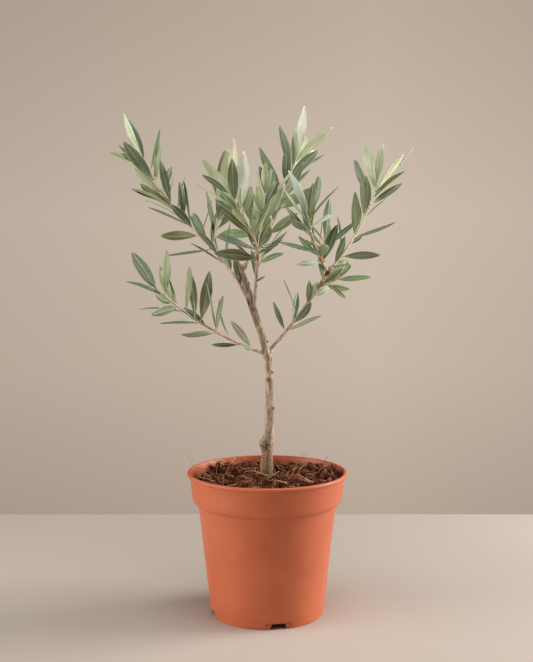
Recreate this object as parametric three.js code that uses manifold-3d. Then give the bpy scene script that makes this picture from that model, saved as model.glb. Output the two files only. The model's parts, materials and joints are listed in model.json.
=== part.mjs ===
// A young olive tree in a round nursery pot. Millimetres, +Z up, with the pot's axis on Z and its
// foot on z = 0. Seen from -Y the tree opens left and right like a hand, and one bough comes
// forward while another goes back.
import * as THREE from 'three';
import { mergeVertices } from 'three/addons/utils/BufferGeometryUtils.js';
import Module from 'manifold-3d';

const wasm = await Module();
wasm.setup();

// ---- driving sizes ----
const gap = 0.3;              // clearance between pieces that touch
const potSides = 36;          // facets round the pot and the compost
const rimRadius = 70;         // widest point of the rolled rim
const rimBead = 1.7;          // radius of that roll
const potHeight = 125.6;
const wall = 1.3;             // thickness of the pot's skin
const collarTop = 67.7;       // outer radius of the collar under the rim
const collarFoot = 65.2;      // and where it rounds in to the shoulder
const shoulderHeight = 97.8;  // the straight wall meets the shoulder here
const shoulderRadius = 60.35;
const footRadius = 49.2;
const footLean = 0.55;        // the foot's edge is chamfered by this much
const plateUnder = 4.6;       // the bottom plate is raised, so the pot stands on a ring
const ringWidth = 2.6;
const notchTurn = -78.5;      // direction of the first drain notch, in degrees from +X
const compostTop = 120.5;     // level of the compost at the trunk
const compostEdge = 119.2;    // and against the pot

const toRadians = THREE.MathUtils.degToRad;
const towardsBack = new THREE.Vector3(0, 1, 0);

// A value that runs evenly through the given ones as t goes from 0 to 1.
function blend(values, t) {
  const place = THREE.MathUtils.clamp(t, 0, 1) * (values.length - 1);
  const low = Math.min(Math.floor(place), values.length - 2);
  return THREE.MathUtils.lerp(values[low], values[low + 1], place - low);
}

// ---- solids ----
// Welds a geometry's corners into one closed skin.
function weld(geometry) {
  const bare = geometry.clone();
  bare.deleteAttribute('normal');
  bare.deleteAttribute('uv');
  return mergeVertices(bare, 1e-4);
}

function solidOf(geometry) {
  const skin = weld(geometry);
  return new wasm.Manifold(new wasm.Mesh({
    numProp: 3,
    vertProperties: new Float32Array(skin.attributes.position.array),
    triVerts: new Uint32Array(skin.index.array),
  }));
}

// The same shape standing out by `clearance` all over, to cut a neighbour with.
function grownSolid(geometry, clearance) {
  const skin = weld(geometry);
  skin.computeVertexNormals();
  const position = skin.attributes.position;
  const normal = skin.attributes.normal;
  for (let i = 0; i < position.count; i++) {
    position.setXYZ(
      i,
      position.getX(i) + clearance * normal.getX(i),
      position.getY(i) + clearance * normal.getY(i),
      position.getZ(i) + clearance * normal.getZ(i),
    );
  }
  return solidOf(skin);
}

function geometryOf(solid) {
  const mesh = solid.getMesh();
  const geometry = new THREE.BufferGeometry();
  geometry.setAttribute('position', new THREE.BufferAttribute(mesh.vertProperties, 3));
  geometry.setIndex(new THREE.BufferAttribute(mesh.triVerts, 1));
  geometry.computeVertexNormals();
  return geometry;
}

// The biggest body of a solid: a cut can leave a crumb beside it.
function mainBody(solid) {
  return solid.decompose().sort((a, b) => b.volume() - a.volume())[0];
}

// ---- growth: limbs and masses follow the same kind of line ----
// A line leaves `start` and turns evenly through the headings and rises it is given, in degrees.
// Heading 0 points to +X and 90 to +Y; rise is the angle above level.
function grow(start, { length, heading, rise }) {
  const steps = 24;
  const points = [start.clone()];
  for (let i = 0; i < steps; i++) {
    const turn = toRadians(blend(heading, (i + 0.5) / steps));
    const climb = toRadians(blend(rise, (i + 0.5) / steps));
    const ahead = new THREE.Vector3(Math.cos(turn), Math.sin(turn), 0);
    ahead.multiplyScalar(Math.cos(climb)).setZ(Math.sin(climb));
    points.push(points.at(-1).clone().addScaledVector(ahead, length / steps));
  }
  return new THREE.CatmullRomCurve3(points);
}

// Moves a shape that stands on the Y axis, from y = -0.5 to y = 0.5, onto the first `until` of a
// curve. `side` is the direction that the shape's own X keeps to, and `reach` gives how far its
// unit radius goes across and through, for each place along the curve, angle round it and
// outward direction.
function bendOnto(geometry, curve, until, side, reach) {
  const position = geometry.attributes.position;
  for (let i = 0; i < position.count; i++) {
    const t = until * THREE.MathUtils.clamp(position.getY(i) + 0.5, 0, 1);
    const ahead = curve.getTangentAt(t);
    const across = side.clone().projectOnPlane(ahead).normalize();
    const through = across.clone().cross(ahead);
    const angle = Math.atan2(position.getZ(i), position.getX(i));
    const outward = across.clone().multiplyScalar(Math.cos(angle));
    outward.addScaledVector(through, Math.sin(angle));
    const size = reach(t, angle, outward);
    const point = curve.getPointAt(t);
    point.addScaledVector(across, position.getX(i) * size.across);
    point.addScaledVector(through, position.getZ(i) * size.through);
    position.setXYZ(i, point.x, point.y, point.z);
  }
  return geometry;
}

// The axis that a curve keeps furthest from, so that nothing bent onto it twists.
function steadyAxis(curve) {
  const axes = [new THREE.Vector3(1, 0, 0), new THREE.Vector3(0, 1, 0), new THREE.Vector3(0, 0, 1)];
  const directions = [0, 0.25, 0.5, 0.75, 1].map((t) => curve.getTangentAt(t));
  const nearness = (axis) => Math.max(...directions.map((ahead) => Math.abs(ahead.dot(axis))));
  return axes.sort((a, b) => nearness(a) - nearness(b))[0];
}

// A limb is a round bar that tapers from fork to tip, and `bumps` are its swellings: where along
// it, how far they stand out, how long they are and the heading that they face.
function limbShape(curve, { radii, until, sides = 6, rings = 10, bumps = [] }) {
  const bar = new THREE.CylinderGeometry(1, 1, 1, sides, rings);
  const side = steadyAxis(curve);
  return bendOnto(bar, curve, until, side, (t, angle, outward) => {
    let radius = blend(radii, t);
    for (const { at, out, spread, facing } of bumps) {
      const near = Math.exp(-(((t - at) / spread) ** 2));
      const towards = new THREE.Vector3(Math.cos(toRadians(facing)), Math.sin(toRadians(facing)), 0);
      radius += out * near * Math.max(0, outward.dot(towards));
    }
    return { across: radius, through: radius };
  });
}

// A mass of foliage is a bud shape along a curve, fullest beyond its middle, with uneven lobes.
function massShape(curve, width, seed) {
  const bud = new THREE.SphereGeometry(1, 12, 6);
  const position = bud.attributes.position;
  const fullness = 0.8;
  for (let i = 0; i < position.count; i++) {
    const height = Math.max(0, (position.getY(i) + 1) / 2);
    position.setY(i, height ** fullness - 0.5);
  }
  return bendOnto(bud, curve, 1, towardsBack, (t, angle) => {
    const threeLobes = 0.12 * Math.sin(3 * angle + 2.1 * seed + 4 * t);
    const twoLobes = 0.1 * Math.sin(2 * angle - 1.3 * seed + 9 * t);
    const radius = (width / 2) * (1 + threeLobes + twoLobes);
    return { across: radius, through: radius };
  });
}

// ---- pot ----
// Outer skin from the foot ring to the rim, then back down the inside: radius, height.
function potProfile() {
  const bead = [];
  const beadCentre = rimRadius - rimBead;
  for (let i = 0; i <= 4; i++) {
    const angle = toRadians(-30 + 50 * i);
    bead.push([beadCentre + rimBead * Math.cos(angle), potHeight - rimBead + rimBead * Math.sin(angle)]);
  }
  return [
    [0, plateUnder],
    [footRadius - ringWidth, plateUnder],
    [footRadius - ringWidth, 0],
    [footRadius, 0],
    [footRadius + footLean, 1],
    [shoulderRadius, shoulderHeight],
    [collarFoot - 1.6, shoulderHeight + 1],
    [collarFoot, shoulderHeight + 4],
    [collarTop, potHeight - 2 * rimBead],
    ...bead,
    [collarTop - wall, potHeight - 2 * rimBead - 1],
    [collarFoot - wall, shoulderHeight + 5],
    [shoulderRadius - wall, shoulderHeight + 0.6],
    [footRadius + 0.2 - wall, plateUnder + wall],
    [0, plateUnder + wall],
  ].map(([radius, height]) => new THREE.Vector2(radius, height));
}

function turned(profile) {
  const geometry = new THREE.LatheGeometry(profile, potSides);
  geometry.rotateX(Math.PI / 2);
  return solidOf(geometry);
}

// A block with slanted ends, wider at its foot, laid across the pot's foot in direction `turn`.
function notchCutter(topWidth, footWidth, height, inner, outer, turn) {
  const outline = new THREE.Shape();
  outline.moveTo(-footWidth / 2, -1);
  outline.lineTo(footWidth / 2, -1);
  outline.lineTo(topWidth / 2, height);
  outline.lineTo(-topWidth / 2, height);
  outline.closePath();
  const block = new THREE.ExtrudeGeometry(outline, { depth: outer - inner, bevelEnabled: false });
  block.translate(0, 0, inner);
  block.rotateX(Math.PI / 2);
  block.rotateZ(toRadians(turn + 90));
  return solidOf(block);
}

function makePot() {
  let pot = turned(potProfile());
  const holeRadius = 4.5;
  for (let i = 0; i < 4; i++) {
    const turn = notchTurn + 90 * i;
    pot = pot.subtract(notchCutter(22, 26.5, 5.6, footRadius - 1.6, footRadius + 4, turn));
    pot = pot.subtract(notchCutter(11.5, 15.5, plateUnder, footRadius - 6, footRadius + 4, turn));
    const hole = new THREE.CylinderGeometry(holeRadius, holeRadius, 4, 8);
    hole.rotateX(Math.PI / 2);
    hole.translate(34 * Math.cos(toRadians(turn)), 34 * Math.sin(toRadians(turn)), plateUnder + wall / 2);
    pot = pot.subtract(solidOf(hole));
  }
  return pot;
}

// ---- compost: fills the pot, mounded a little, with a level seat for the trunk ----
function makeCompost() {
  const inside = wall + gap;
  const seatRadius = 9;
  const mound = [[56, 119.9], [40, 121], [22, 121.6]];
  const profile = [
    [0, plateUnder + wall + gap],
    [footRadius + 0.2 - inside, plateUnder + wall + gap],
    [shoulderRadius - inside, shoulderHeight + 0.9],
    [collarFoot - inside, shoulderHeight + 5.4],
    [collarFoot + 1.9 - inside, compostEdge],
    ...mound,
    [seatRadius, compostTop],
    [0, compostTop],
  ].map(([radius, height]) => new THREE.Vector2(radius, height));
  const geometry = new THREE.LatheGeometry(profile, potSides);
  geometry.rotateX(Math.PI / 2);
  const position = geometry.attributes.position;
  for (let i = 0; i < position.count; i++) {
    const x = position.getX(i);
    const y = position.getY(i);
    const radius = Math.hypot(x, y);
    if (position.getZ(i) > compostEdge + 0.1 && radius > seatRadius + 1) {
      const clods = 0.5 * Math.sin(0.31 * x + 1) * Math.cos(0.27 * y) + 0.3 * Math.sin(0.12 * x - 0.4 * y);
      position.setZ(i, position.getZ(i) + clods);
    }
  }
  return solidOf(geometry);
}

// ---- trunk and boughs ----
const trunkFoot = new THREE.Vector3(-0.6, 0, compostTop + gap);

// Keeps what stands above a level, so that the trunk ends in a flat cut on the compost.
function levelCut(solid, level) {
  const block = new THREE.BoxGeometry(60, 60, 20);
  block.translate(trunkFoot.x, trunkFoot.y, level - 10);
  return solid.subtract(solidOf(block));
}

// Each limb springs from a point `at` along its parent, from 0 at the fork to 1 at the tip, and is
// modelled up to `until`, where it enters the foliage at its end.
const limbs = {
  trunk: {
    length: 195, heading: [180, 180], rise: [90, 95, 90, 85, 70, 75, 65], until: 1,
    radii: [6, 5.2, 4.2, 4, 3.8, 3.6, 3.4, 3.2, 3.4, 3, 1], sides: 9, rings: 30,
    bumps: [
      { at: 0.14, out: 2.6, spread: 0.03, facing: 180 },
      { at: 0.43, out: 1, spread: 0.02, facing: -80 },
      { at: 0.3, out: 0.6, spread: 0.01, facing: 0 },
    ],
  },
  bough_lower_left: {
    parent: 'trunk', at: 0.55, length: 120, heading: [-160, -145], rise: [20, 40],
    radii: [1.6, 1.3, 0.9], until: 0.9,
  },
  bough_right: {
    parent: 'trunk', at: 0.55, length: 90, heading: [20, 0], rise: [45, 60],
    radii: [2.2, 1.9, 1.7, 1.9], until: 1,
  },
  bough_centre: {
    parent: 'trunk', at: 0.75, length: 125, heading: [-75, -90, -170], rise: [80, 35, 65],
    radii: [1.9, 1.5, 1], until: 0.9,
  },
  bough_upper_left: {
    parent: 'trunk', at: 0.75, length: 170, heading: [165, 160], rise: [65, 40, 65],
    radii: [1.9, 1.4, 0.9], until: 0.9,
  },
  bough_back: {
    parent: 'trunk', at: 0.95, length: 135, heading: [45, 70], rise: [30, 55, 50],
    radii: [1.7, 1.4, 0.9], until: 0.9,
  },
  bough_inner_right: {
    parent: 'bough_right', at: 1, length: 65, heading: [-115, -115], rise: [30, 60],
    radii: [1.5, 1.1, 0.9], until: 0.75,
  },
  bough_outer_right: {
    parent: 'bough_right', at: 1, length: 100, heading: [45, 40], rise: [35, 65],
    radii: [1.6, 1.2, 0.9], until: 0.8,
  },
  twig_low_right: {
    parent: 'bough_right', at: 0.85, length: 25, heading: [-30, -60], rise: [10, 35],
    radii: [1, 0.8], until: 0.8,
  },
};

// ---- foliage ----
// The masses on each limb. Each starts `at` a place along it and leans out at one heading and rise,
// which steepens by `turnUp` to its tip, because the leaves turn to the light. It is as deep as wide.
const turnUp = 10;
const masses = {
  bough_lower_left: {
    inner: { at: 0.3, length: 50, heading: -110, rise: 60, width: 30 },
    under: { at: 0.55, length: 45, heading: -170, rise: 0, width: 15 },
    middle: { at: 0.65, length: 50, heading: -30, rise: 65, width: 35 },
    tip: { at: 0.8, length: 65, heading: -140, rise: 40, width: 40 },
  },
  bough_upper_left: {
    inner: { at: 0.25, length: 45, heading: -165, rise: 10, width: 20 },
    middle: { at: 0.45, length: 60, heading: 60, rise: 65, width: 40 },
    outer: { at: 0.65, length: 60, heading: 90, rise: 70, width: 30 },
    side: { at: 0.65, length: 45, heading: -170, rise: 5, width: 20 },
    under: { at: 0.4, length: 45, heading: -175, rise: 10, width: 20 },
    tip: { at: 0.85, length: 60, heading: 140, rise: 60, width: 45 },
  },
  bough_centre: {
    inner: { at: 0.3, length: 45, heading: -60, rise: 30, width: 40 },
    middle: { at: 0.55, length: 50, heading: -120, rise: 60, width: 45 },
    tip: { at: 0.85, length: 60, heading: -110, rise: 60, width: 45 },
  },
  bough_back: {
    inner: { at: 0.35, length: 50, heading: 10, rise: 45, width: 35 },
    middle: { at: 0.6, length: 60, heading: 150, rise: 55, width: 35 },
    side: { at: 0.6, length: 45, heading: 10, rise: 35, width: 25 },
    tip: { at: 0.85, length: 65, heading: 60, rise: 70, width: 45 },
  },
  bough_inner_right: {
    inner: { at: 0.15, length: 45, heading: -140, rise: 25, width: 35 },
    tip: { at: 0.65, length: 60, heading: -100, rise: 60, width: 45 },
  },
  bough_outer_right: {
    inner: { at: 0.2, length: 65, heading: 120, rise: 65, width: 30 },
    side: { at: 0.5, length: 45, heading: 0, rise: 15, width: 20 },
    tip: { at: 0.7, length: 75, heading: 50, rise: 60, width: 50 },
  },
  bough_right: {
    inner: { at: 0.35, length: 55, heading: 120, rise: 70, width: 25 },
    outer: { at: 0.6, length: 40, heading: -10, rise: 10, width: 20 },
  },
  twig_low_right: {
    tip: { at: 0.6, length: 40, heading: -20, rise: 20, width: 30 },
  },
};

// ---- the tree ----
const finishes = {
  pot: { color: '#c4693f', roughness: 0.55, metalness: 0 },
  compost: { color: '#3a2a1e', roughness: 0.95, metalness: 0 },
  trunk: { color: '#8d8274', roughness: 0.85, metalness: 0 },
  bough: { color: '#a28a6e', roughness: 0.8, metalness: 0 },
  foliage: { color: '#6f8560', roughness: 0.6, metalness: 0 },
};

const tree = new THREE.Group();

function add(name, solid, finish) {
  const mesh = new THREE.Mesh(geometryOf(solid), new THREE.MeshStandardMaterial(finishes[finish]));
  mesh.name = name;
  tree.add(mesh);
}

add('pot', makePot(), 'pot');
add('compost', makeCompost(), 'compost');

const lines = {};
const limbCutters = [];
for (const [name, limb] of Object.entries(limbs)) {
  const start = limb.parent ? lines[limb.parent].getPointAt(limb.at) : trunkFoot;
  lines[name] = grow(start, limb);
  const shape = limbShape(lines[name], limb);
  let solid = solidOf(shape);
  for (const cutter of limbCutters) solid = solid.subtract(cutter);
  if (name === 'trunk') solid = levelCut(solid, compostTop + gap);
  limbCutters.push(grownSolid(shape, gap));
  add(name, mainBody(solid), name === 'trunk' ? 'trunk' : 'bough');
}

const massCutters = [];
for (const [limb, its] of Object.entries(masses)) {
  for (const [place, { at, length, heading, rise, width }] of Object.entries(its)) {
    const course = { length, heading: [heading, heading], rise: [rise, rise + turnUp] };
    const shape = massShape(grow(lines[limb].getPointAt(at), course), width, massCutters.length);
    let solid = solidOf(shape);
    for (const cutter of [...limbCutters, ...massCutters]) solid = solid.subtract(cutter);
    massCutters.push(grownSolid(shape, gap));
    add(`foliage_${limb.replace(/^(bough|twig)_/, '')}_${place}`, mainBody(solid), 'foliage');
  }
}

export default tree;
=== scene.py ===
# %% [markdown]
# # A young olive tree in a nursery pot
#
# The tree is 448 mm tall: a grey trunk as thick as a finger at its foot, seven thin boughs with a few
# twigs, and about two hundred narrow leaves, in a 14 cm terracotta-coloured plastic pot. Blender loads
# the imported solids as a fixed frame, and each one is then replaced by the finished piece that it
# stands for. Everything is in metres, +Z is up and the tree is seen from -Y.

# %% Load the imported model
import json
import math
import random

import bpy
import numpy as np
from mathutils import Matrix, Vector, noise

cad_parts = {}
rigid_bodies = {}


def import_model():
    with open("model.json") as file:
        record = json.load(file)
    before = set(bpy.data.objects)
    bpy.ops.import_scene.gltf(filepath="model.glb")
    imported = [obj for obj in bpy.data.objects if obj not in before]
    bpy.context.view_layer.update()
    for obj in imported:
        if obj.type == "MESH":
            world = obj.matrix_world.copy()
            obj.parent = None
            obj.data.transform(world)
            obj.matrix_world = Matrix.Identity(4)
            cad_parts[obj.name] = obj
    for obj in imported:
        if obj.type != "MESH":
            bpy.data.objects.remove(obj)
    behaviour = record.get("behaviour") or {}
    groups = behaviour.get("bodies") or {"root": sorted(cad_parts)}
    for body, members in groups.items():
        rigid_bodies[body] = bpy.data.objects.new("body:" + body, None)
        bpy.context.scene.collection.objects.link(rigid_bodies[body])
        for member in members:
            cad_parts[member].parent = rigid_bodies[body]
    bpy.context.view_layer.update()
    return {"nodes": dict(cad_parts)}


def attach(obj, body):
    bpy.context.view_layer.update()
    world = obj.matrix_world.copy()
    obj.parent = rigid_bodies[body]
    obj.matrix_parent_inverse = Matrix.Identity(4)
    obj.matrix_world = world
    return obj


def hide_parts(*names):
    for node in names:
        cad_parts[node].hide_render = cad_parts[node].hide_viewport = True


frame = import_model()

MM = 0.001
print("solids loaded:", len(frame["nodes"]))

# %% [markdown]
# ## A few helpers
#
# Operators act on everything that is selected, so each piece starts from an empty selection and ends
# with its place in its mesh. A finish is a small tree of shader nodes. One function adds a node of any
# kind and hands on one of its outputs, and another lays a colour over the last one where a pattern
# asks for it. Colours are written as they are read off a colour chart, in sRGB hex, and one function
# turns them into the linear values that light is reckoned in.


# %% Selection and objects
def select_none():
    """Leaves object mode ready for a new primitive."""
    if bpy.context.object and bpy.context.object.mode != "OBJECT":
        bpy.ops.object.mode_set(mode="OBJECT")
    bpy.ops.object.select_all(action="DESELECT")


def take(piece):
    """Makes one object the active and only selected one."""
    select_none()
    piece.select_set(True)
    bpy.context.view_layer.objects.active = piece
    return piece


def settle(piece):
    """Puts an object's place, turn and size into its mesh."""
    take(piece)
    bpy.ops.object.transform_apply(location=True, rotation=True, scale=True)
    return piece


def gathered(parts):
    """The points and faces of many small shapes, as the points and faces of one."""
    points, faces, total = [], [], 0
    for part_points, part_faces in parts:
        points.append(part_points)
        faces += [tuple(total + corner for corner in face) for face in part_faces]
        total += len(part_points)
    return np.concatenate(points), faces


def mesh_piece(name, points, faces, finish_of_face=None, finishes=()):
    """A mesh object made from arrays, with a finish number for each face."""
    mesh = bpy.data.meshes.new(name)
    mesh.from_pydata([tuple(point) for point in points], [], faces)
    for finish in finishes:
        mesh.materials.append(finish)
    if finish_of_face is not None:
        mesh.polygons.foreach_set("material_index", finish_of_face)
    mesh.polygons.foreach_set("use_smooth", [True] * len(mesh.polygons))
    mesh.update()
    piece = bpy.data.objects.new(name, mesh)
    bpy.context.scene.collection.objects.link(piece)
    return piece


# %% Colours and shader nodes
def linear(hex_colour):
    """An sRGB hex value as linear red, green, blue and a full alpha."""
    shares = [int(hex_colour[i : i + 2], 16) / 255 for i in (1, 3, 5)]
    return tuple(s / 12.92 if s <= 0.04045 else ((s + 0.055) / 1.055) ** 2.4 for s in shares) + (1,)


def add_node(tree, kind, settings=None, inputs=None, output=0, stops=()):
    """Adds a node, sets its properties, fills its sockets with values, hex colours or links, and hands
    on one of its outputs. Stops are the (place, hex colour) pairs of a colour ramp."""
    node = tree.nodes.new("ShaderNode" + kind)
    for name, value in (settings or {}).items():
        setattr(node, name, value)
    for name, value in (inputs or {}).items():
        if isinstance(value, bpy.types.NodeSocket):
            tree.links.new(value, node.inputs[name])
        else:
            node.inputs[name].default_value = linear(value) if isinstance(value, str) else value
    if stops:
        marks = node.color_ramp.elements
        for mark, (position, colour) in zip(marks, (stops[0], stops[-1])):
            mark.position = position
            mark.color = linear(colour)
        for position, colour in stops[1:-1]:
            marks.new(position).color = linear(colour)
    return node.outputs[output] if node.outputs else None


def painted(tree, under, paint, value, low, high, most=1.0, where=None):
    """One colour laid over another: none of it where a value is `low`, and the share `most` of it where
    the value is `high`, thinned by a second share if there is one."""
    share = add_node(
        tree, "MapRange", inputs={"Value": value, "From Min": low, "From Max": high, "To Max": most}
    )
    if where is not None:
        share = add_node(tree, "Math", {"operation": "MULTIPLY"}, {0: share, 1: where})
    return add_node(tree, "Mix", {"data_type": "RGBA"}, {0: share, 6: under, 7: paint}, output=2)


def new_finish(name, inputs):
    """A material with a Principled shader, and the place on the piece in metres."""
    finish = bpy.data.materials.new(name)
    finish.use_nodes = True
    tree = finish.node_tree
    tree.nodes.clear()
    shine = add_node(tree, "BsdfPrincipled", inputs=inputs)
    add_node(tree, "OutputMaterial", inputs={"Surface": shine})
    place = add_node(tree, "TexCoord", output="Object")
    return finish, tree, shine.node, place


# %% [markdown]
# ## The stand and the light
#
# The pot stands on a wide matt tabletop whose far edge is 335 mm behind the trunk. The wall beyond is a
# plain warm beige with painted light on it: a painted pool of light a little right of the middle, and
# painted shade towards its top and its foot. It is the World's colour, so it is there from every side,
# and only the camera sees it: on everything else the World sheds a faint, even white. The main light is
# two large soft boxes: the stronger to the right and a little behind, the weaker to the left, so the pot
# is darker along its middle. A smaller one above fills the crown.

# %% Camera
looking_down = 4.91  # degrees below level
camera_data = bpy.data.cameras.new("camera")
camera_data.lens = 59.05
camera_data.sensor_width = 36
camera_data.clip_start = 0.05
camera = bpy.data.objects.new("camera", camera_data)
bpy.context.scene.collection.objects.link(camera)
camera.location = (-0.0006, -0.9367, 0.3287)
camera.rotation_euler = (math.radians(90 - looking_down), 0, 0)
bpy.context.scene.camera = camera
print("camera stands", round(-camera.location.y / MM), "mm in front of the trunk")

# %% Tabletop
table_finish, tree, shader, place = new_finish(
    "painted_board", {"Roughness": 0.62, "Specular IOR Level": 0.3, "IOR": 1.5}
)
cloud = add_node(tree, "TexNoise", inputs={"Vector": place, "Scale": 3.0, "Detail": 2.0, "Roughness": 0.5})
paint = add_node(tree, "ValToRGB", inputs={"Fac": cloud}, stops=[(0.3, "#B5A89D"), (0.7, "#BAADA2")])
tree.links.new(paint, shader.inputs["Base Color"])
table_width, table_depth, far_edge = 6.0, 3.0, 0.335
select_none()
bpy.ops.mesh.primitive_plane_add(size=1, location=(0, far_edge - table_depth / 2, 0))
tabletop = bpy.context.object
tabletop.name = "tabletop"
tabletop.scale = (table_width, table_depth, 1)
settle(tabletop)
tabletop.data.materials.append(table_finish)
print("tabletop far edge at y =", round(max(v.co.y for v in tabletop.data.vertices), 3))

# %% Wall colour and fill light
world = bpy.data.worlds.new("wall")
bpy.context.scene.world = world
world.use_nodes = True
tree = world.node_tree
tree.nodes.clear()
direction = add_node(tree, "TexCoord", output="Generated")
towards = add_node(tree, "SeparateXYZ", inputs={"Vector": direction}).node.outputs
level = add_node(tree, "MapRange", inputs={"Value": towards["Z"], "From Min": -0.25, "From Max": 0.2})
# The wall's beige, with painted shade towards its top and its foot; over it a painted pool of light,
# brightest a little right of the middle.
wall_and_painted_shade_stops = [(0.0, "#B8A697"), (0.3, "#C9B8A8"), (0.6, "#CEBEAE"), (1.0, "#BDAD9D")]
wall_and_painted_shade = add_node(tree, "ValToRGB", inputs={"Fac": level}, stops=wall_and_painted_shade_stops)
sideways = add_node(tree, "MapRange", inputs={"Value": towards["X"], "From Min": -0.24, "From Max": 0.24})
painted_light_pool_stops = [(0.0, "#E9E9E9"), (0.7, "#FFFFFF"), (1.0, "#F2F2F2")]
painted_light_pool = add_node(tree, "ValToRGB", inputs={"Fac": sideways}, stops=painted_light_pool_stops)
lit_wall = add_node(
    tree, "Mix", {"data_type": "RGBA", "blend_type": "MULTIPLY"}, {0: 1.0, 6: wall_and_painted_shade, 7: painted_light_pool}, output=2
)
seen = add_node(tree, "Background", inputs={"Color": lit_wall, "Strength": 1.0})
fill = add_node(tree, "Background", inputs={"Color": "#F0EEEC", "Strength": 0.27})
camera_ray = add_node(tree, "LightPath", output="Is Camera Ray")
shown = add_node(tree, "MixShader", inputs={0: camera_ray, 1: fill, 2: seen})
add_node(tree, "OutputWorld", inputs={"Surface": shown})
bpy.context.scene.view_settings.view_transform = "Standard"
bpy.context.scene.view_settings.look = "None"


# %% Soft boxes
def soft_box(name, place, aim, width, height, watts, colour):
    """A rectangular area light at a place, facing another."""
    data = bpy.data.lights.new(name, "AREA")
    data.shape = "RECTANGLE"
    data.size = width
    data.size_y = height
    data.energy = watts
    data.color = linear(colour)[:3]
    lamp = bpy.data.objects.new(name, data)
    bpy.context.scene.collection.objects.link(lamp)
    lamp.location = place
    lamp.rotation_euler = (Vector(aim) - Vector(place)).to_track_quat("-Z", "Y").to_euler()
    return lamp


middle_of_tree, above_pot = (0, 0, 0.2), (0, 0, 0.1)
soft_box(
    "soft_box_right", (1.2, 0.18, 0.5), middle_of_tree, width=0.7, height=0.8, watts=24, colour="#FFFCF8"
)
soft_box(
    "soft_box_left", (-1.15, -0.35, 0.32), middle_of_tree, width=0.9, height=0.6, watts=12.7, colour="#FFFCF8"
)
soft_box("soft_box_above", (0.1, -0.3, 1.4), above_pot, width=0.7, height=0.5, watts=9, colour="#FFFFFF")

# %% [markdown]
# ## The pot
#
# A nursery pot is injection moulded in one piece: a tapering wall a little over a millimetre thick, a
# rolled rim, a wider collar under it that a stack of pots rests on, and a raised floor with four
# notches and four drain holes round it. It could be spun from a profile, but here one ring of edges is
# pulled along the profile and scaled at each step, which leaves evenly spaced rings to work with. Its
# corners are rounded before the ring is pulled, because a mould has none that are sharp.

# %% Pot profile
foot_radius = 49.2
foot_ring = 2.6
plate_under = 4.6
shoulder_radius = 60.35
shoulder_height = 97.8
collar_foot = 65.2
collar_top = 67.7
rim_radius = 70.0
rim_bead = 1.7
pot_height = 125.6
wall = 1.3
mould_line = 7.2


def rounded(corners, steps=4):
    """Turns (radius, height, rounding) corners into a line whose corners are rounded off."""
    line = []
    for i, (radius, height, rounding) in enumerate(corners):
        here = Vector((radius, height))
        if rounding == 0 or i in (0, len(corners) - 1):
            line.append(here)
            continue
        before = Vector(corners[i - 1][:2])
        after = Vector(corners[i + 1][:2])
        into = here + (before - here).normalized() * min(rounding, (before - here).length * 0.45)
        out = here + (after - here).normalized() * min(rounding, (after - here).length * 0.45)
        for k in range(steps + 1):
            t = k / steps
            line.append(into * (1 - t) ** 2 + here * 2 * t * (1 - t) + out * t**2)
    return line


bead_low = pot_height - 2 * rim_bead
floor_middle = 12.0
pot_line = rounded(
    [
        (floor_middle, plate_under, 0),
        (foot_radius - foot_ring, plate_under, 0.8),
        (foot_radius - foot_ring, 0.0, 0.5),
        (foot_radius, 0.0, 0.6),
        (foot_radius + 0.72, mould_line - 0.5, 0.2),
        (foot_radius + 0.98, mould_line, 0.2),
        (shoulder_radius, shoulder_height, 0.8),
        (collar_foot - 1.4, shoulder_height + 0.8, 1.6),
        (collar_foot + 0.2, shoulder_height + 4.5, 3.4),
        (collar_top - 0.2, bead_low - 0.3, 0.5),
        (rim_radius - 0.3, bead_low + 0.1, 1.1),
        (rim_radius, pot_height - 1.0, 1.2),
        (rim_radius - 1.2, pot_height, 1.0),
        (collar_top - 0.4, pot_height - 0.2, 0.9),
        (collar_top - wall, bead_low - 1.2, 1.4),
        (collar_foot - wall, shoulder_height + 5.0, 1.6),
        (shoulder_radius - wall, shoulder_height + 0.6, 1.2),
        (foot_radius - 1.1, plate_under + wall, 0.9),
        (floor_middle, plate_under + wall, 0),
    ]
)
print("pot profile:", len(pot_line), "rings")

# %% Pull the ring along the profile
select_none()
bpy.ops.mesh.primitive_circle_add(
    vertices=120, radius=pot_line[0].x * MM, fill_type="NGON", location=(0, 0, pot_line[0].y * MM)
)
pot = bpy.context.object
pot.name = "nursery_pot"
settle(pot)
bpy.ops.object.mode_set(mode="EDIT")
bpy.ops.mesh.select_all(action="SELECT")
bpy.ops.mesh.region_to_loop()
for before, after in zip(pot_line, pot_line[1:]):
    widening = after.x / before.x
    bpy.ops.mesh.extrude_edges_move(TRANSFORM_OT_translate={"value": (0, 0, (after.y - before.y) * MM)})
    bpy.ops.transform.resize(value=(widening, widening, 1), center_override=(0, 0, after.y * MM))
bpy.ops.mesh.edge_face_add()
bpy.ops.mesh.select_all(action="SELECT")
bpy.ops.mesh.remove_doubles(threshold=0.01 * MM)
bpy.ops.mesh.normals_make_consistent(inside=False)
bpy.ops.object.mode_set(mode="OBJECT")
print("pot wall:", len(pot.data.vertices), "points")


# %% Cut the notches and the drain holes
def cut_round_the_foot(target, cutter, first_turn):
    """Copies a cutter to four places round the pot and takes them all away from the target."""
    copies = []
    for quarter in range(4):
        copy = cutter.copy()
        copy.data = cutter.data.copy()
        bpy.context.scene.collection.objects.link(copy)
        copy.rotation_euler = (0, 0, math.radians(first_turn + 90 * quarter))
        settle(copy)
        copies.append(copy)
    select_none()
    for copy in copies:
        copy.select_set(True)
    bpy.context.view_layer.objects.active = copies[0]
    bpy.ops.object.join()
    cut = take(target).modifiers.new("cut", "BOOLEAN")
    cut.operation = "DIFFERENCE"
    cut.solver = "EXACT"
    cut.object = copies[0]
    bpy.ops.object.modifier_apply(modifier="cut")
    bpy.data.objects.remove(copies[0])
    bpy.data.objects.remove(cutter)


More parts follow.
